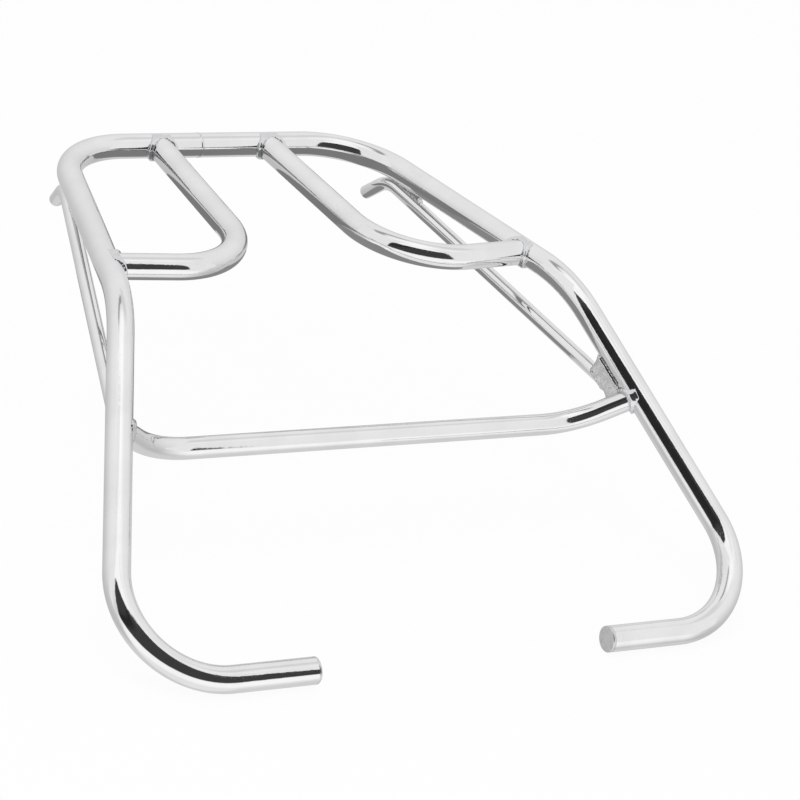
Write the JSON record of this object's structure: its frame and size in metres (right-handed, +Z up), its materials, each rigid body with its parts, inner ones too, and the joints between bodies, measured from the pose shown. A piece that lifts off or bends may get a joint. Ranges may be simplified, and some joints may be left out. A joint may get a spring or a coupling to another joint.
{
  "type": "motorcycle luggage rack",
  "caption": "Chromed tubular luggage rack: a bent hoop with two curved inner deck tubes, a lower crossbar, side struts with pegs, and legs whose closed ends point inward.",
  "frame": {"origin": "midway between the end faces of the two legs, on their common axis", "axes": "+X to the rider's right, +Y to the rear of the motorcycle, +Z up; the deck is level"},
  "size_m": [0.4816, 0.4682, 0.1684],
  "materials": {
    "plated_tube": "bright chrome plating on bent steel tube and bar",
    "end_disc": "duller chrome plating on ground end discs",
    "plated_plate": "rough plated plate",
    "plated_weld": "plated weld bead, rippled"
  },
  "bodies": {
    "root": {"left_hoop": "plated_tube", "right_hoop": "plated_tube", "left_inner_tube": "plated_tube", "right_inner_tube": "plated_tube", "crossbar": "plated_tube", "left_strut": "plated_tube", "right_strut": "plated_tube", "left_end_cap": "end_disc", "right_end_cap": "end_disc", "left_gusset": "plated_plate", "right_gusset": "plated_plate", "hoop_seam_weld": "plated_weld", "left_inner_rear_weld": "plated_weld", "right_inner_rear_weld": "plated_weld", "left_inner_rail_weld": "plated_weld", "right_inner_rail_weld": "plated_weld", "left_crossbar_weld": "plated_weld", "right_crossbar_weld": "plated_weld", "left_strut_weld": "plated_weld", "right_strut_weld": "plated_weld", "left_gusset_leg_weld": "plated_weld", "right_gusset_leg_weld": "plated_weld", "left_gusset_strut_weld": "plated_weld", "right_gusset_strut_weld": "plated_weld"}
  },
  "joints": []
}
